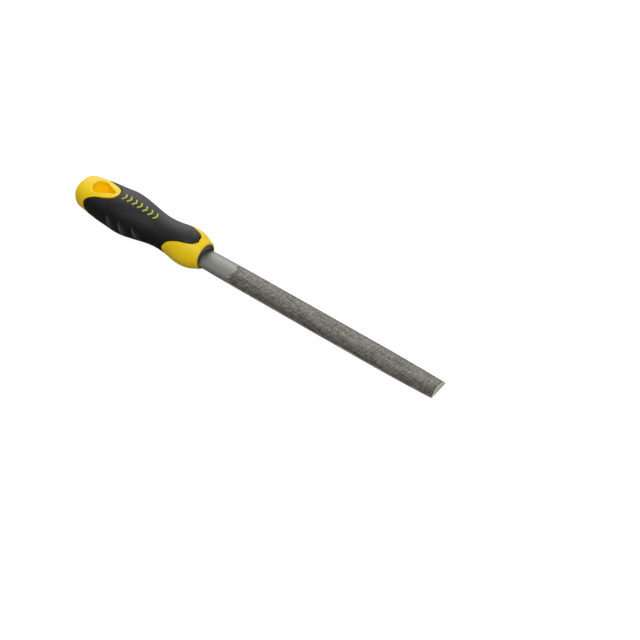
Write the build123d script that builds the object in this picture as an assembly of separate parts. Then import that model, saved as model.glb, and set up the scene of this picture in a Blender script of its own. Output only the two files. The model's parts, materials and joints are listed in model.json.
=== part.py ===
from build123d import *

import math
import os

# A hand file: a half-round toothed blade whose tang is held in a two-colour moulded handle.
# Frame, in millimetres: +X from the butt of the handle to the tip of the blade, +Z out of the
# blade's rounded back. The origin lies on the flat working face, on its centre line, where the
# blade leaves the mouth of the handle.

# Ring that lines the mouth of the handle. The blade's heel stands on the floor of its recess
ring_front = -0.7
ring_radius = 9.15
ring_depth = 10.0
ring_edge_round = 0.3
recess_radius = 8.25
recess_depth = 2.4

# Blade
blade_length = 200.0
blade_thickness = 5.45
edge_land = 0.5
heel_place = ring_front - recess_depth
heel_relief = 0.3
blade_widths = [
    (heel_place, 17.3),
    (15.0, 18.1),
    (50.0, 18.6),
    (110.0, 18.7),
    (165.0, 18.3),
    (blade_length, 16.4),
]

# Tang, which is the blade's tapered tail inside the handle
tang_length = 72.0
tang_width = 10.0
tang_end_width = 4.5
tang_thickness = 3.6
tang_end_thickness = 2.4

# Handle
axis_height = 2.5
handle_length = 117.9
butt_half_width = 12.8
butt_round = 7.6
butt_turns = (8.0, 23.0, 38.0, 53.0, 68.0, 82.0)
butt_flatness = 0.885
butt_drop = 1.2
butt_squareness = 0.026
flat_start = -95.0
flat_end = -48.0
section_points = 20
section_count = 34
section_grading = 1.2

# Half-width of the handle at stations along its length, from behind its rounded butt to its mouth
handle_stations = [
    (-103.0, 14.0),
    (-95.0, 15.05),
    (-85.0, 15.85),
    (-74.0, 16.7),
    (-66.0, 16.0),
    (-56.0, 14.3),
    (-47.0, 12.7),
    (-38.0, 12.15),
    (-29.0, 12.9),
    (-21.0, 14.25),
    (-15.5, 14.45),
    (-9.0, 13.4),
    (-4.5, 11.5),
    (-2.2, 10.65),
    (-1.0, 9.85),
]

# Grip, a soft skin over the hard core. Each edge is (angle from the top in degrees, place along X)
grip_thickness = 2.2
parting_round = 0.4
wall_root = 3.0
front_edge = [
    (0.0, -6.2),
    (15.0, -6.9),
    (25.0, -8.9),
    (32.0, -12.9),
    (38.0, -18.0),
    (46.0, -22.8),
    (55.0, -26.6),
    (70.0, -29.5),
    (90.0, -31.4),
]
rear_edge = [
    (0.0, -80.9),
    (15.0, -82.1),
    (24.0, -84.4),
    (32.0, -88.2),
    (42.0, -94.8),
    (52.0, -99.5),
    (65.0, -103.3),
    (77.0, -105.1),
    (90.0, -105.5),
]

# Finger scoops on both sides of the grip: shallow cuts that end in a sharp rear edge
scoop_places = [-80.5, -69.5, -58.0]
scoop_depth = 0.5
scoop_radius = 13.0
scoop_height = 11.0
scoop_lean = 8.0

# Hanging hole through the butt, shaped like a drop with its point towards the blade
hole_centre = -98.8
hole_radius = 5.9
hole_point = -83.2
hole_point_round = 0.9
hole_rim_round = 1.0

# Row of plain chevrons set into the top of the grip
mark_count = 7
mark_first = -75.0
mark_last = -46.0
mark_height = 5.8
mark_reach = 1.7
mark_stroke = 1.3
mark_depth = 0.5

# Room that a cutting body needs to pass right through the handle, and what the blade is drawn
# below its flat face before that face is cut
beyond = 40.0
below_flat = 1.0

# How close to the skin an edge must be to lie in it, and how far outside its expected box an
# edge may reach when edges are picked out to be rounded
skin_gap = 0.1
box_slack = 1.0


def half_round_section(place, width):
    """Section of the blade: straight sides with an arc above, drawn a little below the flat face."""
    half = width / 2
    outline = Polyline(
        (place, -half, edge_land),
        (place, -half, -below_flat),
        (place, half, -below_flat),
        (place, half, edge_land),
    )
    crown = (place, 0, blade_thickness)
    back = ThreePointArc((place, half, edge_land), crown, (place, -half, edge_land))
    return make_face(outline + back)


def tang_section(place, width, thickness):
    """Rectangular section of the tang, centred on the handle's axis."""
    plane = Plane(origin=(place, 0, axis_height), x_dir=(0, 1, 0), z_dir=(1, 0, 0))
    return plane * Rectangle(width, thickness)


def make_tang():
    """The tapered tail that is driven into the handle."""
    root = tang_section(heel_place, tang_width, tang_thickness)
    end = tang_section(-tang_length, tang_end_width, tang_end_thickness)
    return loft([end, root])


def make_blade():
    """The blade and its tang in one piece. The flat face starts where the heel leaves the ring."""
    bar = loft([half_round_section(place, width) for place, width in blade_widths])
    bar = split(bar, bisect_by=Plane.XY, keep=Keep.TOP)
    seated = Pos(heel_place + recess_depth / 2, 0, heel_relief / 2)
    return bar - seated * Box(recess_depth, beyond, heel_relief) + make_tang()


def flattening(place):
    """How far a place lies towards the flattened butt, from 0 to 1."""
    share = (flat_end - place) / (flat_end - flat_start)
    share = min(max(share, 0.0), 1.0)
    return share * share * (3 - 2 * share)


def handle_section(place, half_width):
    """Oval section of the handle: round at the front, lower and squarer towards the butt."""
    share = flattening(place)
    half_height = half_width * (1 + (butt_flatness - 1) * share)
    centre = axis_height - butt_drop * share
    square = butt_squareness * share
    points = []
    for number in range(section_points):
        angle = 2 * math.pi * number / section_points
        across = half_width * (math.cos(angle) - square * math.cos(3 * angle)) / (1 - square)
        height = half_height * (math.sin(angle) + square * math.sin(3 * angle)) / (1 - square)
        points.append((place, across, centre + height))
    return make_face(Spline(*points, periodic=True))


def slope_at(profile, number):
    """Slope of a profile at one of its points, taken between that point's neighbours."""
    before = profile[max(number - 1, 0)]
    after = profile[min(number + 1, len(profile) - 1)]
    return (after[1] - before[1]) / (after[0] - before[0])


def half_width_at(place):
    """Half-width of the handle at any place: a smooth curve through the measured stations."""
    profile = [butt_point(butt_turns[-1])] + handle_stations
    number = max(index for index in range(len(profile) - 1) if profile[index][0] <= place)
    start, low = profile[number]
    end, high = profile[number + 1]
    span = end - start
    share = (place - start) / span
    rise = share * share * (3 - 2 * share)
    leave = share * (1 - share) ** 2 * slope_at(profile, number)
    arrive = share * share * (share - 1) * slope_at(profile, number + 1)
    return low + (high - low) * rise + span * (leave + arrive)


def butt_point(turn):
    """Place and half-width at an angle round the quarter circle that rounds off the butt."""
    angle = math.radians(turn)
    place = -handle_length + butt_round * (1 - math.cos(angle))
    half = butt_half_width - butt_round * (1 - math.sin(angle))
    return place, half


def handle_sections():
    """Place and half-width of every section of the handle, closest together at its mouth."""
    sections = [butt_point(turn) for turn in butt_turns]
    butt_end = sections[-1][0]
    mouth = handle_stations[-1][0]
    for number in range(1, section_count + 1):
        remaining = (1 - number / section_count) ** section_grading
        place = mouth + (butt_end - mouth) * remaining
        sections.append((place, half_width_at(place)))
    return sections


def handle_body(inset=0.0):
    """Closed form of the handle, everywhere thinner by the inset."""
    return loft([handle_section(place, half - inset) for place, half in handle_sections()])


def edge_surface(edge_points):
    """Wall that stands square to the handle's skin along one edge of the grip."""
    quarter = list(edge_points)
    half = quarter + [(180 - angle, place) for angle, place in reversed(quarter[:-1])]
    turn = half + [(360 - angle, place) for angle, place in reversed(half[1:-1])]
    parameters = [angle / 360 for angle, place in turn] + [1.0]

    def loop(radius):
        points = []
        for angle, place in turn:
            across = radius * math.sin(math.radians(angle))
            height = axis_height + radius * math.cos(math.radians(angle))
            points.append(Vector(place, across, height))
        return Edge.make_spline(points, periodic=True, parameters=parameters)

    return Face.make_surface_from_curves(loop(wall_root), loop(beyond))


def hanging_hole():
    """Drop-shaped hole that passes straight through the butt from top to bottom."""
    reach = hole_point - hole_centre
    touch_angle = math.acos(hole_radius / reach)
    touch_x = hole_centre + hole_radius * math.cos(touch_angle)
    touch_y = hole_radius * math.sin(touch_angle)
    sides = Polyline((touch_x, -touch_y), (hole_point, 0), (touch_x, touch_y))
    bow = ThreePointArc((touch_x, touch_y), (hole_centre - hole_radius, 0), (touch_x, -touch_y))
    drop = make_face(sides + bow)
    drop = fillet(drop.vertices().sort_by(Axis.X)[-1], hole_point_round)
    return extrude(drop, beyond, both=True)


def grip_blank(outside):
    """The soft skin between its two curved edges, still smooth all over."""
    tube = outside - handle_body(grip_thickness)
    tube = split(tube, bisect_by=edge_surface(front_edge), keep=Keep.ALL)
    rear_piece = tube.solids().sort_by(Axis.X)[0]
    tube = split(rear_piece, bisect_by=edge_surface(rear_edge), keep=Keep.ALL)
    return tube.solids().sort_by(Axis.X)[-1]


def scoop(place, side):
    """Half of a round bar laid across the grip's flank, so the cut ends in a sharp rear edge."""
    flank = half_width_at(place)
    bar = Cylinder(scoop_radius, scoop_height)
    front_half = Pos(scoop_radius, 0, 0) * Box(2 * scoop_radius, 2 * scoop_radius, scoop_height)
    half_bar = Rot(0, scoop_lean, 0) * (bar & front_half)
    height = axis_height - butt_drop * flattening(place)
    return Pos(place, side * (flank + scoop_radius - scoop_depth), height) * half_bar


def chevron(place):
    """One plain chevron that points to the blade, drawn out upwards from the handle's axis."""
    half = mark_height / 2
    outline = Polyline(
        (place + mark_reach, 0),
        (place, half),
        (place - mark_stroke, half),
        (place + mark_reach - mark_stroke, 0),
        (place - mark_stroke, -half),
        (place, -half),
        (place + mark_reach, 0),
    )
    return extrude(Pos(0, 0, axis_height) * make_face(outline), beyond)


def make_marks(outside):
    """Row of chevrons that lie flush in the top of the grip."""
    skin = outside - handle_body(mark_depth)
    pitch = (mark_last - mark_first) / (mark_count - 1)
    marks = []
    for number in range(mark_count):
        marks.append((skin & chevron(mark_first + pitch * number)).solids()[0])
    return Compound(children=marks)


def mouth_bar(radius, depth):
    """Round bar on the handle's axis that reaches back from the front of the ring."""
    return Pos(ring_front - depth / 2, 0, axis_height) * (Rot(0, 90, 0) * Cylinder(radius, depth))


def make_ring(blade):
    """Bush that lines the mouth of the handle, with a recess that takes the blade's heel."""
    bush = mouth_bar(ring_radius, ring_depth)
    bush = fillet(bush.edges().sort_by(Axis.X)[-1], ring_edge_round)
    return bush - mouth_bar(recess_radius, recess_depth) - blade


def make_grip(blank, marks):
    """The soft grip with its finger scoops and with pockets for the marks."""
    grip = blank
    for place in scoop_places:
        for side in (-1, 1):
            grip = grip - scoop(place, side)
    for mark in marks.solids():
        grip = grip - mark
    return grip


def is_parting_edge(edge, outside):
    """True for an outer edge of the core that runs along the grip."""
    box = edge.bounding_box()
    on_skin = edge.distance_to(outside.shells()[0]) < skin_gap
    for edge_points in (front_edge, rear_edge):
        places = [place for angle, place in edge_points]
        within = box.min.X > min(places) - box_slack and box.max.X < max(places) + box_slack
        if on_skin and within and box.size.X > grip_thickness:
            return True
    return False


def is_hole_rim(edge):
    """True for an edge that lies round the mouth of the hanging hole, top or bottom."""
    box = edge.bounding_box()
    inside_x = box.min.X > hole_centre - hole_radius - box_slack and box.max.X < hole_point
    inside_y = max(abs(box.min.Y), abs(box.max.Y)) < hole_radius + box_slack
    return inside_x and inside_y and box.size.Z < hole_radius


def make_core(outside, blank):
    """The hard core: it shows as the collar and the butt, and holds the tang."""
    core = outside - blank
    partings = [edge for edge in core.edges() if is_parting_edge(edge, outside)]
    core = fillet(partings, parting_round)
    core = core - hanging_hole()
    rims = [edge for edge in core.edges() if is_hole_rim(edge)]
    core = fillet(rims, hole_rim_round)
    return core - mouth_bar(ring_radius, ring_depth) - make_tang()


def main():
    """Make every piece and write one STEP file for each."""
    os.makedirs("parts", exist_ok=True)
    outside = handle_body()
    blank = grip_blank(outside)
    marks = make_marks(outside)
    blade = make_blade()
    pieces = {
        "file_blade": blade,
        "handle_core": make_core(outside, blank),
        "grip_overmould": make_grip(blank, marks),
        "mouth_ring": make_ring(blade),
        "grip_marks": marks,
    }
    for node, piece in pieces.items():
        export_step(piece, os.path.join("parts", node + ".step"))


main()
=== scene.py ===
import json
import math

import bmesh
import bpy
import numpy as np
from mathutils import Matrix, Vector
from mathutils.bvhtree import BVHTree
from numpy.polynomial import chebyshev


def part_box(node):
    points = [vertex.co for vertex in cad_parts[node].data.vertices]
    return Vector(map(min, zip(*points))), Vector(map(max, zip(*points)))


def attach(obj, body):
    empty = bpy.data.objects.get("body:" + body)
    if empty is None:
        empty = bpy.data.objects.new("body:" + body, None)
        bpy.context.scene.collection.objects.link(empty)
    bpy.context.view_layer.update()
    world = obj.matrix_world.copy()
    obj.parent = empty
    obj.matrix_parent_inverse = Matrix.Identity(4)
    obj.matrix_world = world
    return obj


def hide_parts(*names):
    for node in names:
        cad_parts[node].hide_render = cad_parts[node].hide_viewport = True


# Looks for a half-round file. Lengths are in millimetres until a mesh is made, and the shapes are
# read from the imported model: +X runs to the tip of the blade and +Z out of its rounded back.
# A turn is an angle round the handle's axis, in radians from the top.

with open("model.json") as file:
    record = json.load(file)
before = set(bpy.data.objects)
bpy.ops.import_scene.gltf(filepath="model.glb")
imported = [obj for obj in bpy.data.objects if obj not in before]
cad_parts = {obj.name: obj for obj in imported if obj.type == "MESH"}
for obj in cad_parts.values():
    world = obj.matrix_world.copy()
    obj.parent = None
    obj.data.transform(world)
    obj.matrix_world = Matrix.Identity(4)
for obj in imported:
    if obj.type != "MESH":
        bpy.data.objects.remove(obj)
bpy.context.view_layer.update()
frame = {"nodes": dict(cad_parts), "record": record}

MM = 0.001
FAR = 60.0

# Grip: rows run from its rear edge to its front edge, columns run once round the handle.
# The skin is read between the rounded butt and the rounded mouth, and the grip's edges are
# looked for from its middle outwards
BUTT_ROUND = 8.0
MOUTH_ROUND = 3.6
MOUTH_MARGIN = 4.0
GRIP_MIDDLE = -45.0
GRIP_COLUMNS = 360
GRIP_ROWS = 236
GRIP_INNER_ROWS = 12
GRIP_DEPTH = 2.0
GRIP_CREASE = 50
EDGE_GAP = 0.28
EDGE_ROUND = 0.85
EDGE_STEPS = 6

# Finger scoops on the flanks of the grip. A scoop leans forward by a length for each radian down
SCOOP_PLACES = (-79.7, -68.3, -56.9)
SCOOP_LEAN = 1.8
SCOOP_LENGTH = 8.5
SCOOP_STEP = 0.4
SCOOP_DEPTH = 0.55
SCOOP_TOP = math.radians(62)
SCOOP_FULL = math.radians(88)
SCOOP_LOW = math.radians(108)
SCOOP_END = math.radians(127)
# The crest of each scoop's step and the bowl in front of it are painted paler, as a painted highlight
CREST_WIDTH = 0.8
BOWL_HIGHLIGHT = 0.75

# Chevrons on top of the grip: a stroke that runs from one arm's end round its point to the other.
# Its profile is a list of (share of the stroke's width, depth below the skin)
MARK_COUNT = 7
MARK_REACH = 1.7
MARK_STROKE = 1.3
MARK_STEPS = 24
MARK_BEVEL = 0.06
MARK_END_SUNK = 0.1
MARK_CREASE = 40
MARK_PROFILE = (
    (0.0, 0.6), (0.0, 0.02), (0.07, -0.06), (0.2, -0.1), (0.8, -0.1), (0.93, -0.06), (1.0, 0.02), (1.0, 0.6)
)

# Blade: two crossing sets of cuts, on the rounded back and on the flat face. The teeth of a cut
# differ a little in depth, by chance
BLADE_COLUMNS = 66
CUT_START = 25.0
CUT_FADE = 1.1
CUT_PITCH = 0.86
CUT_SLANT = 3.6
START_SPREAD = 2.0
CUT_DEPTH = 0.26
CROSS_PITCH = 1.05
CROSS_ANGLE = math.radians(42)
CROSS_DEPTH = 0.2
CROSS_SHARPNESS = 1.6
TOOTH_PHASES = (0.0, 0.4, 0.8)
TOOTH_SPREAD = 0.25
TOOTH_SINK = 0.05
CHANCE_SIZE = 512
BACK_SEED = 11
FLAT_SEED = 12
RIM_SHARPNESS = 12
RIM_START = 0.15
BLADE_CREASE = 28

# Blade outside its teeth: the height of its upright edges, the step of the flat face inside the
# ring, the bevel round the end face, and the tang
EDGE_LAND = 0.5
HEEL_ROWS = 60
HEEL_RAMP = 0.3
WIDE_SHARE = 0.75
END_BEVEL = 0.4
END_DROP = 0.25
END_MIDDLE = 0.4
TANG_BEVEL = 0.4
TANG_ROOT_HALF = 5.0
TANG_ROOT_RISE = 0.6
TANG_ROWS = 12
TANG_OVERLAP = 0.5

# The blade's outline is probed at some places, just off its middle and partway up its edge
PROBE_COUNT = 60
PROBE_MARGIN = 0.3
PROBE_ASIDE = 0.01
PROBE_HEIGHT = EDGE_LAND * 0.8
PROFILE_TERMS = 9


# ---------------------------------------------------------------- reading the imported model

def tree_of(*nodes):
    """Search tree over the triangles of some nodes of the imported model, in millimetres."""
    points = []
    faces = []
    for node in nodes:
        mesh = frame["nodes"][node].data
        first = len(points)
        points.extend(vertex.co / MM for vertex in mesh.vertices)
        faces.extend([first + corner for corner in face.vertices] for face in mesh.polygons)
    return BVHTree.FromPolygons(points, faces)


ring_low, ring_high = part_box("mouth_ring")
blade_low, blade_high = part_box("file_blade")
core_low, core_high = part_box("handle_core")
AXIS_HEIGHT = (ring_low.z + ring_high.z) / 2 / MM
RING_FRONT = ring_high.x / MM
BLADE_END = blade_high.x / MM
BUTT = core_low.x / MM
MOUTH = core_high.x / MM

# Limits of the hanging hole's walls round the mount that marks the hole. The hole is longer than
# it is wide, and runs forward from its mount
HOLE_MARGIN = 2.0
HOLE_LIP = 1.0
HOLE_FADE = 6.0
hole = next(mount for mount in frame["record"]["mounts"] if mount["name"] == "hang_hole")
HOLE_RADIUS = hole["dims"]["r_mm"]
HOLE_PLACE = hole["pos_m"][0] / MM
HOLE_REAR = HOLE_PLACE - HOLE_RADIUS - HOLE_MARGIN
HOLE_FRONT = HOLE_PLACE + HOLE_RADIUS * 3
HOLE_HALF = HOLE_RADIUS + HOLE_MARGIN
HOLE_TOP = hole["pos_m"][2] / MM - HOLE_LIP
HOLE_DEEP = HOLE_TOP - HOLE_FADE


def hit_radius(tree, place, turn):
    """Distance from the handle's axis to the outermost surface at a place and a turn, or 0."""
    way = Vector((0, math.sin(turn), math.cos(turn)))
    start = Vector((place, 0, AXIS_HEIGHT)) + way * FAR
    point = tree.ray_cast(start, -way, FAR)[0]
    if point is None:
        return 0.0
    return FAR - (point - start).length


class Skin:
    """Smooth outer skin of the handle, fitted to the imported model's handle between its two ends."""

    LENGTH_TERMS = 22
    TURN_TERMS = 9
    LENGTH_SAMPLES = 150
    TURN_SAMPLES = 41
    CUT_OFF = 0.04
    ROUNDS = 12

    def __init__(self, low, high):
        self.middle = (low + high) / 2
        self.half = (high - low) / 2
        tree = tree_of("handle_core", "grip_overmould", "grip_marks")
        places, turns = np.meshgrid(
            np.linspace(low, high, self.LENGTH_SAMPLES), np.linspace(0, math.pi, self.TURN_SAMPLES)
        )
        places = places.ravel()
        turns = turns.ravel()
        radii = np.array([hit_radius(tree, place, turn) for place, turn in zip(places, turns)])
        terms = self.terms(places, turns)
        kept = radii > 0
        for _ in range(self.ROUNDS):
            self.weights = np.linalg.lstsq(terms[kept], radii[kept], rcond=None)[0]
            kept = radii - terms @ self.weights > -self.CUT_OFF

    def terms(self, places, turns):
        """Value of every shape that the skin is a sum of, at some places and turns."""
        along = chebyshev.chebvander((places - self.middle) / self.half, self.LENGTH_TERMS - 1)
        around = np.cos(turns[:, None] * np.arange(self.TURN_TERMS))
        return (along[:, :, None] * around[:, None, :]).reshape(len(places), -1)

    def radius(self, places, turns):
        """Distance of the skin from the handle's axis."""
        shape = np.shape(places)
        return (self.terms(np.ravel(places), np.ravel(turns)) @ self.weights).reshape(shape)

    def points(self, places, turns, depth):
        """Points at a depth below the skin, as an array that ends in x, y, z."""
        radii = self.radius(places, turns) - depth
        return np.stack(
            [places, radii * np.sin(turns), AXIS_HEIGHT + radii * np.cos(turns)], axis=-1
        )


class GripEdge:
    """One curved edge of the grip, as its place at any turn round the handle."""

    TERMS = 31
    SAMPLES = 181
    HALVINGS = 16

    def __init__(self, skin, tree, inside, outside):
        turns = np.linspace(0, math.pi, self.SAMPLES)
        places = [self.search(skin, tree, turn, inside, outside) for turn in turns]
        self.weights = np.linalg.lstsq(self.terms(turns), np.array(places), rcond=None)[0]

    def search(self, skin, tree, turn, inside, outside):
        """Halves the span between a place on the grip and one off it until the edge is found."""
        for _ in range(self.HALVINGS):
            middle = (inside + outside) / 2
            radius = hit_radius(tree, middle, turn)
            limit = skin.radius(np.array([middle]), np.array([turn]))[0] - GRIP_DEPTH / 2
            if radius > limit:
                inside = middle
            else:
                outside = middle
        return (inside + outside) / 2

    def terms(self, turns):
        """Value of every wave that the edge is a sum of, at some turns."""
        return np.cos(turns[:, None] * np.arange(self.TERMS))

    def place(self, turns):
        """Place along X of the edge at each turn."""
        return self.terms(turns) @ self.weights

    def slope(self, turns):
        """How fast the edge's place changes with the turn."""
        order = np.arange(self.TERMS)
        return (-order * np.sin(turns[:, None] * order)) @ self.weights


# ---------------------------------------------------------------- mesh helpers

def new_piece(name, points, faces, material):
    """A mesh object made from points in millimetres, riding on the one body of the part."""
    mesh = bpy.data.meshes.new(name)
    mesh.from_pydata((np.asarray(points) * MM).tolist(), [], faces)
    mesh.materials.append(material)
    piece = bpy.data.objects.new(name, mesh)
    bpy.context.scene.collection.objects.link(piece)
    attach(piece, "root")
    return piece


def keep_values(piece, name, values):
    """Stores one number for each point of a piece, for its material to read."""
    attribute = piece.data.attributes.new(name, "FLOAT", "POINT")
    attribute.data.foreach_set("value", np.asarray(values, dtype=np.float32))


def tidy_normals(piece, sharp_degrees):
    """Merges double points, makes the faces look outwards and keeps creases above an angle sharp."""
    mesh = piece.data
    work = bmesh.new()
    work.from_mesh(mesh)
    bmesh.ops.remove_doubles(work, verts=work.verts, dist=1e-7)
    bmesh.ops.recalc_face_normals(work, faces=work.faces)
    work.to_mesh(mesh)
    work.free()
    mesh.shade_smooth()
    mesh.set_sharp_from_angle(angle=math.radians(sharp_degrees))


def tube_faces(rows, columns, first=0, looped=False):
    """Faces of a tube of rows, each a closed ring of points. It is closed by two caps or looped."""
    faces = []
    for row in range(rows if looped else rows - 1):
        after = (row + 1) % rows
        for column in range(columns):
            beside = (column + 1) % columns
            faces.append((
                first + row * columns + column,
                first + row * columns + beside,
                first + after * columns + beside,
                first + after * columns + column,
            ))
    if not looped:
        faces.append(tuple(range(first, first + columns)))
        faces.append(tuple(range(first + (rows - 1) * columns, first + rows * columns)))
    return faces


def ease(share):
    """Smooth step from 0 to 1."""
    share = np.clip(share, 0, 1)
    return share * share * (3 - 2 * share)


# ---------------------------------------------------------------- grip

def scoops(places, turns):
    """Depth of the finger scoops, each deepest at its sharp rear step, and the share of painted highlight
    along that step and in the bowl in front of it.
    """
    lean = np.abs(np.arctan2(np.sin(turns), np.cos(turns)))
    window = ease((lean - SCOOP_TOP) / (SCOOP_FULL - SCOOP_TOP))
    window = window * (1 - ease((lean - SCOOP_LOW) / (SCOOP_END - SCOOP_LOW)))
    depth = np.zeros_like(places)
    wear = np.zeros_like(places)
    for start in SCOOP_PLACES:
        forward = places - start - SCOOP_LEAN * (lean - math.pi / 2)
        fall = np.clip(1 - forward / SCOOP_LENGTH, 0, 1) ** 2
        depth += SCOOP_DEPTH * fall * ease(forward / SCOOP_STEP + 0.5) * window
        crest = 1 - np.abs(forward) / CREST_WIDTH
        bowl = BOWL_HIGHLIGHT * fall * (forward > 0) * ease((lean - SCOOP_TOP) / (SCOOP_LOW - SCOOP_TOP))
        wear = np.maximum(wear, np.maximum(ease(crest), bowl) * window)
    return depth, wear


def edge_row(skin, edge, turns, way, distance):
    """Places and turns of a row at a distance from an edge, measured square to that edge."""
    places = edge.place(turns)
    radii = skin.radius(places, turns)
    slope = edge.slope(turns) / radii
    length = np.hypot(1, slope)
    return places + way * distance / length, turns - way * distance * slope / length / radii


def make_grip(skin, material):
    """The soft skin: a closed tube with rounded edges and finger scoops."""
    tree = tree_of("grip_overmould")
    rear = GripEdge(skin, tree, GRIP_MIDDLE, BUTT + BUTT_ROUND)
    front = GripEdge(skin, tree, GRIP_MIDDLE, MOUTH - MOUTH_MARGIN)
    turns = np.linspace(0, 2 * math.pi, GRIP_COLUMNS, endpoint=False)

    bends = np.linspace(0, math.pi / 2, EDGE_STEPS)
    rims = []
    for bend in bends:
        rims.append((EDGE_GAP + EDGE_ROUND * (1 - math.cos(bend)), EDGE_ROUND * (1 - math.sin(bend))))

    rear_rows = [edge_row(skin, rear, turns, 1, distance) for distance, _ in rims]
    front_rows = [edge_row(skin, front, turns, -1, distance) for distance, _ in rims]
    depths = [depth for _, depth in rims]

    def between(share):
        """A row at a share of the way from the rear edge to the front edge."""
        places = rear_rows[-1][0] * (1 - share) + front_rows[-1][0] * share
        leans = rear_rows[-1][1] * (1 - share) + front_rows[-1][1] * share
        return places, leans

    rows = [skin.points(*row, depth) for row, depth in zip(rear_rows, depths)]
    paleness = [np.zeros(GRIP_COLUMNS)] * len(rows)
    for share in np.linspace(0, 1, GRIP_ROWS + 1)[1:-1]:
        places, leans = between(share)
        depth, wear = scoops(places, leans)
        rows.append(skin.points(places, leans, depth))
        paleness.append(wear)
    rows += [skin.points(*row, depth) for row, depth in zip(reversed(front_rows), reversed(depths))]
    rows.append(skin.points(*front_rows[0], GRIP_DEPTH))
    for share in np.linspace(1, 0, GRIP_INNER_ROWS):
        rows.append(skin.points(*between(share), GRIP_DEPTH))
    rows.append(skin.points(*rear_rows[0], GRIP_DEPTH))

    faces = tube_faces(len(rows), GRIP_COLUMNS, looped=True)
    paleness += [np.zeros(GRIP_COLUMNS)] * (len(rows) - len(paleness))
    piece = new_piece("rubber_grip", np.concatenate(rows), faces, material)
    # Each point keeps its share of the painted highlight of the scoops
    keep_values(piece, "wear", np.concatenate(paleness))
    tidy_normals(piece, GRIP_CREASE)
    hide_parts("grip_overmould")


def make_marks(skin, material):
    """The row of chevrons, each a slightly raised stroke with rounded edges."""
    low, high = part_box("grip_marks")
    first = low.x / MM + MARK_STROKE
    last = high.x / MM - MARK_REACH
    half = high.y / MM
    steps = np.concatenate([[-1], np.linspace(MARK_BEVEL - 1, 1 - MARK_BEVEL, MARK_STEPS), [1]])
    points = []
    faces = []
    for place in np.linspace(first, last, MARK_COUNT):
        for step in steps:
            front = place + MARK_REACH * (1 - abs(step))
            sunk = MARK_END_SUNK if abs(step) == 1 else 0.0
            for share, depth in MARK_PROFILE:
                where = np.array([front - MARK_STROKE * share])
                turn = half * step / skin.radius(where, np.zeros(1))
                points.append(skin.points(where, turn, depth + sunk)[0])
        count = len(steps) * len(MARK_PROFILE)
        faces += tube_faces(len(steps), len(MARK_PROFILE), first=len(points) - count)
    piece = new_piece("inlaid_chevrons", points, faces, material)
    tidy_normals(piece, MARK_CREASE)
    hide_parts("grip_marks")


# ---------------------------------------------------------------- blade

def steel_box(low, high):
    """Lowest and highest corner, in millimetres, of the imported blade's points between two places."""
    points = np.array([vertex.co / MM for vertex in frame["nodes"]["file_blade"].data.vertices])
    points = points[(points[:, 0] > low) & (points[:, 0] < high)]
    return points.min(axis=0), points.max(axis=0)


def heel_corner():
    """Place where the wide blade starts inside the ring, and the height of its flat side there."""
    points = np.array([vertex.co / MM for vertex in frame["nodes"]["file_blade"].data.vertices])
    wide = points[:, 1] > blade_high.y / MM * WIDE_SHARE
    seated = wide & (points[:, 0] < RING_FRONT - HEEL_RAMP)
    return points[seated, 0].min(), points[seated, 2].min()


def blade_profile(heel):
    """Half-width and height of the blade along its length, as two smooth curves."""
    tree = tree_of("file_blade")
    places = np.linspace(heel + PROBE_MARGIN, BLADE_END - PROBE_MARGIN, PROBE_COUNT)
    halves = []
    heights = []
    for place in places:
        side = tree.ray_cast(Vector((place, FAR, PROBE_HEIGHT)), Vector((0, -1, 0)))[0]
        top = tree.ray_cast(Vector((place, PROBE_ASIDE, FAR)), Vector((0, 0, -1)))[0]
        halves.append(side.y)
        heights.append(top.z)
    fit = np.polynomial.Chebyshev.fit
    return fit(places, halves, PROFILE_TERMS), fit(places, heights, PROFILE_TERMS)


def back_surface(places, across, halves, heights):
    """Points on the rounded back, with the outward normal. across runs from -1 to 1."""
    rise = heights - EDGE_LAND
    radii = (halves ** 2 + rise ** 2) / (2 * rise)
    lean = across * np.arcsin(halves / radii)
    normals = np.stack([np.zeros_like(places), np.sin(lean), np.cos(lean)], axis=-1)
    centre = EDGE_LAND + rise - radii
    points = np.stack([places, radii * np.sin(lean), centre + radii * np.cos(lean)], axis=-1)
    return points, normals


def flat_surface(places, across, halves, relief):
    """Points on the flat face, which steps up by a relief inside the ring, with the normal."""
    height = relief * ease((RING_FRONT - places) / HEEL_RAMP)
    points = np.stack([places, across * halves, height], axis=-1)
    normals = np.broadcast_to(np.array([0.0, 0.0, -1.0]), points.shape)
    return points, normals


def tooth_depth(places, across, halves, seed):
    """How far the two crossing sets of cuts reach below the surface."""
    chance = np.random.default_rng(seed)
    first = (places - CUT_SLANT * across) / CUT_PITCH
    sideways = across * halves
    cross = (places * math.sin(CROSS_ANGLE) - sideways * math.cos(CROSS_ANGLE)) / CROSS_PITCH
    table = chance.random((CHANCE_SIZE, CHANCE_SIZE))
    row = np.floor(first).astype(int) % CHANCE_SIZE
    column = np.floor(cross).astype(int) % CHANCE_SIZE
    luck = table[row, column]
    phase = first - np.floor(first)
    peak = TOOTH_PHASES[-1]
    saw = np.where(phase < peak, 1 - phase / peak, (phase - peak) / (1 - peak))
    notch = 1 - np.abs(2 * (cross - np.floor(cross)) - 1)
    notch = np.clip(notch * CROSS_SHARPNESS - (CROSS_SHARPNESS - 1), 0, 1)
    cut = np.maximum(CUT_DEPTH * saw, CROSS_DEPTH * notch)
    cut = cut * (1 - TOOTH_SPREAD + TOOTH_SPREAD * luck) + TOOTH_SINK * luck
    return cut * ease((places - CUT_START) / CUT_FADE + START_SPREAD * (luck - 0.5))


def blade_rows():
    """Row places at the middle of the blade. Toothed rows lie on the phases of the first cut."""
    start = math.floor((CUT_START - CUT_SLANT) / CUT_PITCH) - 2
    stop = math.ceil((BLADE_END + CUT_SLANT) / CUT_PITCH) + 1
    return [(number + phase) * CUT_PITCH for number in range(start, stop) for phase in TOOTH_PHASES]


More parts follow.
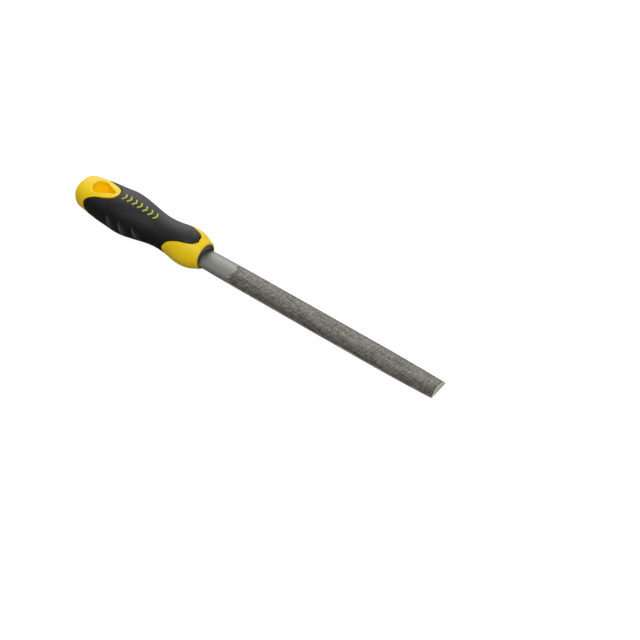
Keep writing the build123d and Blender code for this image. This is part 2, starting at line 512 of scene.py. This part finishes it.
def tang_points(heel):
    """Rings of points round the tapered tang, from its end to just inside the blade's heel."""
    end_low, end_high = steel_box(blade_low.x / MM - 1, blade_low.x / MM + 1)
    start = end_low[0]
    rings = []
    for share in np.linspace(0, 1, TANG_ROWS):
        place = start + (heel + TANG_OVERLAP - start) * share
        half = end_high[1] + (TANG_ROOT_HALF - end_high[1]) * share
        tall = (end_high[2] - end_low[2]) / 2 + TANG_ROOT_RISE * share
        bevel = TANG_BEVEL
        for y, z in (
            (half, tall - bevel), (half - bevel, tall), (bevel - half, tall), (-half, tall - bevel),
            (-half, bevel - tall), (bevel - half, -tall), (half - bevel, -tall), (half, bevel - tall),
        ):
            rings.append((place, y, AXIS_HEIGHT + z))
    return rings


def blade_places(start):
    """Places of all rows of the blade. Rows lean with the first cut, except at the two ends."""
    across = np.linspace(-1, 1, BLADE_COLUMNS + 1)
    last = BLADE_END - END_BEVEL
    toothed = np.array([np.minimum(middle + CUT_SLANT * across, last) for middle in blade_rows()])
    toothed = toothed[np.any(toothed < last, axis=1)]
    toothed = np.vstack([toothed, np.full(BLADE_COLUMNS + 1, last)])
    shares = np.linspace(0, 1, HEEL_ROWS, endpoint=False)[:, None]
    heel = start * (1 - shares) + toothed[0] * shares
    places = np.vstack([heel, toothed])
    return places, np.broadcast_to(across, places.shape)


def with_bevel(surface, centre):
    """A surface with one more row of points, which bevels it in to the end face of the blade."""
    edge = surface[-1]
    inwards = centre - edge
    inwards[:, 0] = 0
    inwards = inwards / np.linalg.norm(inwards, axis=1)[:, None]
    end = edge + inwards * END_DROP
    end[:, 0] = BLADE_END
    return np.concatenate([surface, end[None]])


def blade_faces(rows, columns):
    """Faces of the back, of the flat face below it, of the two edges and of the two ends."""
    below = rows * columns
    faces = []
    for row in range(rows - 1):
        for column in range(columns - 1):
            corner = row * columns + column
            faces.append((corner, corner + columns, corner + columns + 1, corner + 1))
            corner += below
            faces.append((corner, corner + 1, corner + columns + 1, corner + columns))
        for column in (0, columns - 1):
            corner = row * columns + column
            faces.append((corner, corner + columns, corner + columns + below, corner + below))
    for row in (0, rows - 1):
        for column in range(columns - 1):
            corner = row * columns + column
            faces.append((corner, corner + 1, corner + 1 + below, corner + below))
    return faces


def make_blade(material):
    """The toothed blade, closed at both ends, with its tang as a second closed shell."""
    start, relief = heel_corner()
    half_curve, height_curve = blade_profile(start)
    places, across = blade_places(start)
    halves = half_curve(places)
    heights = height_curve(places)

    back, back_way = back_surface(places, across, halves, heights)
    flat, flat_way = flat_surface(places, across, halves, relief)
    rim = ease((1 - np.abs(across)) * RIM_SHARPNESS + RIM_START)
    back_cut = tooth_depth(places, across, halves, BACK_SEED) * rim
    flat_cut = tooth_depth(places, across, halves, FLAT_SEED) * rim
    centre = np.array([BLADE_END, 0, heights[-1, 0] * END_MIDDLE])
    back = with_bevel(back - back_way * back_cut[..., None], centre)
    flat = with_bevel(flat - flat_way * flat_cut[..., None], centre)
    uncut = np.zeros(BLADE_COLUMNS + 1)
    back_cut = np.vstack([back_cut, uncut])
    flat_cut = np.vstack([flat_cut, uncut])

    points = np.concatenate([back.reshape(-1, 3), flat.reshape(-1, 3)])
    faces = blade_faces(*back.shape[:2])
    tang = tang_points(start)
    faces += tube_faces(TANG_ROWS, len(tang) // TANG_ROWS, first=len(points))
    points = np.concatenate([points, tang])
    cuts = np.concatenate([back_cut.ravel(), flat_cut.ravel(), np.zeros(len(tang))]) / CUT_DEPTH
    piece = new_piece("toothed_blade", points, faces, material)
    keep_values(piece, "cut", cuts)
    tidy_normals(piece, BLADE_CREASE)
    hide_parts("file_blade")


# ---------------------------------------------------------------- materials

# Colours are linear. The walls of the hanging hole are painted orange and glow a little, both as painted
# light in place of light that scatters inside the plastic: more yellow at the butt and more orange towards
# the blade
HOLE_REAR_GLOW = (0.17, 0.15, 0.0)
HOLE_FRONT_GLOW = (0.13, 0.058, 0.0)
HOLE_PAINTED_ORANGE = (0.95, 0.50, 0.0)
ORANGE_START = HOLE_REAR + 3
ORANGE_FULL = HOLE_PLACE + 6
WALL_TILT = 0.8

# Steel: where the toothed look sets in, the painted shade and darker oxide in its grooves, its painted
# sheen where it is seen edge-on and its end face, painted pale as painted light. A pattern is drawn out
# along the blade by squeezing its coordinates along X
TOOTHED_START = CUT_START - 0.5
TOOTHED_FULL = CUT_START + 1.5
GROOVE_SHADE_AND_OXIDE = (0.10, 0.095, 0.086)
TOOTH_SHEEN = (0.80, 0.78, 0.73)
SHEEN_START = 0.55
END_PAINTED_LIGHT = (0.60, 0.61, 0.49)
END_METALLIC = 0.1
STREAK_ANGLE = math.radians(6)
STREAK_STRENGTH = 0.8
ALONG_GRIND = (0.06, 1, 1)
ALONG_STREAKS = (0.05, 1, 1)
ALONG_SCRATCHES = (0.15, 1, 1)

# Painted highlights on the black rubber, and painted light in the recess of the black nylon ring
RUBBER_HIGHLIGHT = (0.11, 0.115, 0.095)
RECESS_PAINTED_LIGHT = (0.21, 0.20, 0.145)
RECESS_START = RING_FRONT - 0.3
RECESS_FULL = RING_FRONT - 1.5


def grey(level):
    """A neutral colour."""
    return (level, level, level)


class Paint:
    """A node material that is built up step by step."""

    def __init__(self, name):
        self.material = bpy.data.materials.new(name)
        self.material.use_nodes = True
        self.tree = self.material.node_tree
        self.surface = self.tree.nodes["Principled BSDF"]

    def node(self, kind, **values):
        """A new node with some of its settings given."""
        node = self.tree.nodes.new(kind)
        for name, value in values.items():
            setattr(node, name, value)
        return node

    def link(self, source, target):
        """Joins an output socket to an input socket."""
        self.tree.links.new(source, target)

    def set(self, **values):
        """Sets inputs of the surface, with _ for each space in their names."""
        for name, value in values.items():
            self.surface.inputs[name.replace("_", " ")].default_value = value

    def position(self, stretch=(1, 1, 1), turn=0.0):
        """Object coordinates in millimetres, turned about the Z axis and stretched along each axis."""
        coordinates = self.node("ShaderNodeTexCoord")
        mapping = self.node("ShaderNodeMapping")
        mapping.inputs["Rotation"].default_value = (0, 0, turn)
        mapping.inputs["Scale"].default_value = (1 / MM,) * 3
        self.link(coordinates.outputs["Object"], mapping.inputs["Vector"])
        scale = self.node("ShaderNodeVectorMath", operation="MULTIPLY")
        scale.inputs[1].default_value = stretch
        self.link(mapping.outputs["Vector"], scale.inputs[0])
        return scale.outputs["Vector"]

    def noise(self, size, detail=3.0, stretch=(1, 1, 1), turn=0.0):
        """Noise with features of about a size in millimetres, from 0 to 1."""
        noise = self.node("ShaderNodeTexNoise")
        noise.inputs["Scale"].default_value = 1 / size
        noise.inputs["Detail"].default_value = detail
        self.link(self.position(stretch, turn), noise.inputs["Vector"])
        return noise.outputs["Fac"]

    def value_of(self, name):
        """The number that each point of the piece keeps under a name."""
        attribute = self.node("ShaderNodeAttribute", attribute_name=name, attribute_type="GEOMETRY")
        return attribute.outputs["Fac"]

    def split(self, vector):
        """The three numbers of a vector, by the names X, Y and Z."""
        parts = self.node("ShaderNodeSeparateXYZ")
        self.link(vector, parts.inputs["Vector"])
        return parts.outputs

    def along(self):
        """Place along the X axis, in millimetres."""
        return self.split(self.position())["X"]

    def facing_away(self):
        """0 where the surface faces the eye and 1 where it is seen edge-on."""
        return self.node("ShaderNodeLayerWeight").outputs["Facing"]

    def maths(self, operation, first, second):
        """One sum on two values, the second of which is a number or a socket."""
        node = self.node("ShaderNodeMath", operation=operation)
        self.link(first, node.inputs[0])
        if isinstance(second, bpy.types.NodeSocket):
            self.link(second, node.inputs[1])
        else:
            node.inputs[1].default_value = second
        return node.outputs[0]

    def hole_walls(self):
        """1 deep on the upright walls of the hanging hole, 0 on the rest of the handle."""
        place = self.split(self.position())
        way = self.split(self.node("ShaderNodeNewGeometry").outputs["True Normal"])
        flatness = self.maths("ABSOLUTE", way["Z"], 0)
        walls = self.rise(flatness, WALL_TILT, WALL_TILT / 3)
        across = self.maths("ABSOLUTE", place["Y"], 0)
        for share in (
            self.rise(place["Z"], HOLE_TOP, HOLE_DEEP),
            self.maths("GREATER_THAN", place["X"], HOLE_REAR),
            self.maths("LESS_THAN", place["X"], HOLE_FRONT),
            self.maths("LESS_THAN", across, HOLE_HALF),
        ):
            walls = self.maths("MULTIPLY", walls, share)
        return walls

    def rise(self, source, low, high):
        """A value that rises from 0 to 1 as its source goes from low to high."""
        spread = self.node("ShaderNodeMapRange")
        spread.inputs["From Min"].default_value = low
        spread.inputs["From Max"].default_value = high
        self.link(source, spread.inputs["Value"])
        return spread.outputs["Result"]

    def ramp(self, source, stops):
        """Turns a value into a colour or a grey by stops of (place, colour)."""
        ramp = self.node("ShaderNodeValToRGB")
        elements = ramp.color_ramp.elements
        while len(elements) < len(stops):
            elements.new(0.5)
        for element, (place, colour) in zip(elements, stops):
            element.position = place
            element.color = (*colour, 1)
        self.link(source, ramp.inputs["Fac"])
        return ramp.outputs["Color"]

    def mix(self, share, low, high, blend="MIX"):
        """Mixes two colours, each a socket or a plain colour, by a share that is a socket or number."""
        mix = self.node("ShaderNodeMix", data_type="RGBA", blend_type=blend)
        for socket, value in ((mix.inputs[0], share), (mix.inputs[6], low), (mix.inputs[7], high)):
            if isinstance(value, bpy.types.NodeSocket):
                self.link(value, socket)
            elif isinstance(value, (int, float)):
                socket.default_value = value
            else:
                socket.default_value = (*value, 1)
        return mix.outputs[2]

    def bump(self, source, strength, height):
        """Adds a bump of a height in millimetres on top of any that is there."""
        bump = self.node("ShaderNodeBump")
        bump.inputs["Strength"].default_value = strength
        bump.inputs["Distance"].default_value = height * MM
        self.link(source, bump.inputs["Height"])
        normal = self.surface.inputs["Normal"]
        if normal.is_linked:
            self.link(normal.links[0].from_socket, bump.inputs["Normal"])
        self.link(bump.outputs["Normal"], normal)


def steel():
    """Satin steel: smooth on the ground heel and end, darker and speckled where it is cut."""
    paint = Paint("steel")
    paint.set(Metallic=1.0, Roughness=0.5)
    grind = paint.noise(1.2, 4, ALONG_GRIND)
    ground = paint.ramp(grind, [(0.3, (0.235, 0.235, 0.215)), (0.7, (0.295, 0.295, 0.27))])
    paleness = paint.ramp(paint.noise(3.0, 4), [(0.3, (0.375, 0.335, 0.30)), (0.7, (0.42, 0.42, 0.37))])
    grit = paint.ramp(paint.noise(0.8, 3), [(0.36, grey(0.68)), (0.64, grey(1.32))])
    teeth = paint.mix(1.0, paleness, grit, "MULTIPLY")
    lines = paint.noise(1.1, 2, ALONG_STREAKS, STREAK_ANGLE)
    streaks = paint.ramp(lines, [(0.38, grey(0.45)), (0.5, grey(1.0))])
    teeth = paint.mix(STREAK_STRENGTH, teeth, streaks, "MULTIPLY")

    along = paint.along()
    toothed = paint.rise(along, TOOTHED_START, TOOTHED_FULL)
    colour = paint.mix(toothed, ground, teeth)
    # Painted shade in the grooves, deeper where the cut is deeper, with some darker oxide there
    colour = paint.mix(paint.value_of("cut"), colour, GROOVE_SHADE_AND_OXIDE)
    edge_on = paint.rise(paint.facing_away(), SHEEN_START, 1.0)
    colour = paint.mix(paint.maths("MULTIPLY", edge_on, toothed), colour, TOOTH_SHEEN)
    # The end face is painted pale and made nearly non-metallic, as painted light falling on it
    end = paint.rise(along, BLADE_END - END_BEVEL, BLADE_END - END_BEVEL * 0.8)
    paint.link(paint.mix(end, colour, END_PAINTED_LIGHT), paint.surface.inputs["Base Color"])
    paint.link(paint.mix(end, grey(1), grey(END_METALLIC)), paint.surface.inputs["Metallic"])
    paint.bump(paint.noise(0.35, 3, ALONG_SCRATCHES), 0.25, 0.02)
    return paint.material


def yellow_plastic():
    """Glossy yellow moulded plastic with a faint orange peel, which glows orange inside its hole."""
    paint = Paint("yellow_plastic")
    paint.set(Roughness=0.42, IOR=1.40)
    colour = paint.ramp(paint.noise(9.0, 2), [(0.3, (0.88, 0.605, 0.0)), (0.7, (0.92, 0.64, 0.001))])
    walls = paint.hole_walls()
    front = paint.rise(paint.along(), ORANGE_START, ORANGE_FULL)
    orange = paint.maths("MULTIPLY", walls, front)
    # The walls of the hole are painted orange, as painted light that scatters inside the plastic
    paint.link(paint.mix(orange, colour, HOLE_PAINTED_ORANGE), paint.surface.inputs["Base Color"])
    glow = paint.mix(front, HOLE_REAR_GLOW, HOLE_FRONT_GLOW)
    paint.link(paint.mix(walls, grey(0), glow), paint.surface.inputs["Emission Color"])
    paint.set(Emission_Strength=1.0)
    paint.bump(paint.noise(1.8, 2), 0.08, 0.05)
    return paint.material


def black_rubber():
    """Soft-touch black rubber: satin, with a fine grain and painted highlights along the steps and bowls of
    the scoops.
    """
    paint = Paint("black_rubber")
    paint.set(Roughness=0.47, IOR=1.43)
    patches = paint.noise(4.0, 3)
    colour = paint.ramp(patches, [(0.3, (0.004, 0.0038, 0.0042)), (0.7, (0.008, 0.0075, 0.0085))])
    # Painted highlight along the steps and bowls of the scoops
    colour = paint.mix(paint.value_of("wear"), colour, RUBBER_HIGHLIGHT)
    paint.link(colour, paint.surface.inputs["Base Color"])
    paint.bump(paint.noise(0.3, 2), 0.35, 0.05)
    return paint.material


def black_nylon():
    """Plain black moulded nylon of the mouth ring, painted paler inside its recess as painted light."""
    paint = Paint("black_nylon")
    paint.set(Roughness=0.5)
    colour = paint.ramp(paint.noise(1.0, 3), [(0.3, (0.050, 0.048, 0.035)), (0.7, (0.065, 0.062, 0.048))])
    # Painted light: the recess is painted paler than the rest of the ring
    inside = paint.rise(paint.along(), RECESS_START, RECESS_FULL)
    paint.link(paint.mix(inside, colour, RECESS_PAINTED_LIGHT), paint.surface.inputs["Base Color"])
    paint.bump(paint.noise(0.4, 2), 0.2, 0.05)
    return paint.material


def lime_inlay():
    """Lime-yellow inlay of the marks."""
    paint = Paint("lime_inlay")
    paint.set(Roughness=0.45)
    colour = paint.ramp(paint.noise(0.8, 2), [(0.3, (0.42, 0.46, 0.01)), (0.7, (0.50, 0.53, 0.02))])
    paint.link(colour, paint.surface.inputs["Base Color"])
    paint.bump(paint.noise(0.4, 2), 0.2, 0.03)
    return paint.material


def paint_node(node, material):
    """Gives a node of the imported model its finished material."""
    for slot in frame["nodes"][node].material_slots:
        slot.material = material


# ---------------------------------------------------------------- studio

# The world, the floor and the lamps light the part. To the camera, world and floor are white.
# In reflections the floor is dark on the near side of the part and bright on its far side
WORLD_HORIZON = 0.1
WORLD_ZENITH = 0.5
WORLD_RISE = 0.6
FLOOR_GLOW = 0.93
FLOOR_SHADE = 0.25
FLOOR_BOUNCE = 0.4
FLOOR_MIRROR_NEAR = 0.12
FLOOR_MIRROR_FAR = 0.6
FLOOR_MIRROR_START = 6.0
FLOOR_MIRROR_FULL = 14.0
FLOOR_REACH = 1500.0

# Camera: angles in degrees, its distance from the handle's mouth, and its shifts right and up
VIEW_AZIMUTH = 37.40
VIEW_ELEVATION = 47.83
VIEW_DISTANCE = 1313.1
VIEW_RIGHT = 80.10
VIEW_UP = -44.67
LENS = 104.57
SENSOR = 36.0
NEAREST_SEEN = 50.0
FARTHEST_SEEN = 50000.0

# Lamps: name, azimuth and elevation in degrees, distance, size and power in watts
LAMPS = (
    ("back_softbox", VIEW_AZIMUTH + 180, 38, 1300, 1400, 8),
    ("front_softbox", VIEW_AZIMUTH - 20, 60, 1300, 800, 6),
    ("rim_softbox", VIEW_AZIMUTH + 180, 8, 1300, 900, 3),
    ("end_softbox", VIEW_AZIMUTH + 55, 20, 1300, 800, 3),
)


def direction(azimuth, elevation):
    """Unit vector towards an azimuth and an elevation in degrees. Azimuth 0 is the -Y side."""
    azimuth = math.radians(azimuth)
    elevation = math.radians(elevation)
    flat = math.cos(elevation)
    return Vector((math.sin(azimuth) * flat, -math.cos(azimuth) * flat, math.sin(elevation)))


def make_camera():
    """Camera that looks down on the rounded back from the -Y side, from nearer the tip."""
    back = direction(VIEW_AZIMUTH, VIEW_ELEVATION)
    right = direction(VIEW_AZIMUTH + 90, 0)
    up = back.cross(right)
    data = bpy.data.cameras.new("camera")
    data.lens = LENS
    data.sensor_width = SENSOR
    data.clip_start = NEAREST_SEEN * MM
    data.clip_end = FARTHEST_SEEN * MM
    camera = bpy.data.objects.new("camera", data)
    bpy.context.scene.collection.objects.link(camera)
    place = Vector((0, 0, AXIS_HEIGHT)) + back * VIEW_DISTANCE + right * VIEW_RIGHT + up * VIEW_UP
    camera.location = place * MM
    camera.rotation_mode = "QUATERNION"
    camera.rotation_quaternion = back.to_track_quat("Z", "Y")
    bpy.context.scene.camera = camera


def make_world():
    """White to the camera; to everything else a soft studio that is darker near the horizon."""
    world = bpy.data.worlds.new("studio")
    bpy.context.scene.world = world
    world.use_nodes = True
    tree = world.node_tree
    tree.nodes.clear()
    output = tree.nodes.new("ShaderNodeOutputWorld")
    seen = tree.nodes.new("ShaderNodeBackground")
    seen.inputs["Color"].default_value = (1, 1, 1, 1)
    light = tree.nodes.new("ShaderNodeBackground")
    coordinates = tree.nodes.new("ShaderNodeTexCoord")
    split = tree.nodes.new("ShaderNodeSeparateXYZ")
    ramp = tree.nodes.new("ShaderNodeValToRGB")
    tree.links.new(coordinates.outputs["Generated"], split.inputs["Vector"])
    tree.links.new(split.outputs["Z"], ramp.inputs["Fac"])
    ramp.color_ramp.elements[0].color = (*grey(WORLD_HORIZON), 1)
    ramp.color_ramp.elements[1].color = (*grey(WORLD_ZENITH), 1)
    ramp.color_ramp.elements[1].position = WORLD_RISE
    tree.links.new(ramp.outputs["Color"], light.inputs["Color"])
    path = tree.nodes.new("ShaderNodeLightPath")
    mix = tree.nodes.new("ShaderNodeMixShader")
    tree.links.new(path.outputs["Is Camera Ray"], mix.inputs[0])
    tree.links.new(light.outputs[0], mix.inputs[1])
    tree.links.new(seen.outputs[0], mix.inputs[2])
    tree.links.new(mix.outputs[0], output.inputs["Surface"])


def make_lamp(name, azimuth, elevation, distance, size, power):
    """A soft square lamp that looks at the origin from a direction. Lengths are in millimetres."""
    data = bpy.data.lights.new(name, "AREA")
    data.shape = "SQUARE"
    data.size = size * MM
    data.energy = power
    lamp = bpy.data.objects.new(name, data)
    bpy.context.scene.collection.objects.link(lamp)
    way = direction(azimuth, elevation)
    lamp.location = way * distance * MM
    lamp.rotation_mode = "QUATERNION"
    lamp.rotation_quaternion = way.to_track_quat("Z", "Y")


def floor_paint():
    """Matte floor: white to the camera, but dimmer in its reflections and in the light it throws."""
    paint = Paint("pale_floor")
    paint.set(Roughness=0.9)
    paint.set(Specular_IOR_Level=0.0)
    path = paint.node("ShaderNodeLightPath")
    seen = path.outputs["Is Camera Ray"]
    mirrored = path.outputs["Is Glossy Ray"]
    unseen = paint.mix(mirrored, grey(FLOOR_BOUNCE), grey(FLOOR_MIRROR_NEAR))
    colour = paint.mix(seen, unseen, grey(FLOOR_SHADE))
    paint.link(colour, paint.surface.inputs["Base Color"])
    far = paint.rise(paint.split(paint.position())["Y"], FLOOR_MIRROR_START, FLOOR_MIRROR_FULL)
    reflection = paint.mix(paint.maths("MULTIPLY", mirrored, far), grey(0), grey(FLOOR_MIRROR_FAR))
    paint.link(paint.mix(seen, reflection, grey(FLOOR_GLOW)), paint.surface.inputs["Emission Color"])
    paint.set(Emission_Strength=1.0)
    return paint.material


def make_floor():
    """Plain pale floor that the belly of the handle and the tip of the blade rest on."""
    slope = 0.0
    for vertex in frame["nodes"]["grip_overmould"].data.vertices:
        point = vertex.co / MM
        slope = max(slope, -point.z / (BLADE_END - point.x))
    corners = []
    for x, y in ((-1, -1), (1, -1), (1, 1), (-1, 1)):
        height = slope * (FLOOR_REACH * x - BLADE_END)
        corners.append((FLOOR_REACH * x * MM, FLOOR_REACH * y * MM, height * MM))
    mesh = bpy.data.meshes.new("floor")
    mesh.from_pydata(corners, [], [(0, 1, 2, 3)])
    mesh.materials.append(floor_paint())
    floor = bpy.data.objects.new("floor", mesh)
    bpy.context.scene.collection.objects.link(floor)


# ---------------------------------------------------------------- the scene

skin = Skin(BUTT + BUTT_ROUND, MOUTH - MOUTH_ROUND)
make_grip(skin, black_rubber())
make_marks(skin, lime_inlay())
make_blade(steel())
paint_node("handle_core", yellow_plastic())
paint_node("mouth_ring", black_nylon())

make_camera()
make_world()
make_floor()
for lamp in LAMPS:
    make_lamp(*lamp)
bpy.context.scene.view_settings.view_transform = "Standard"
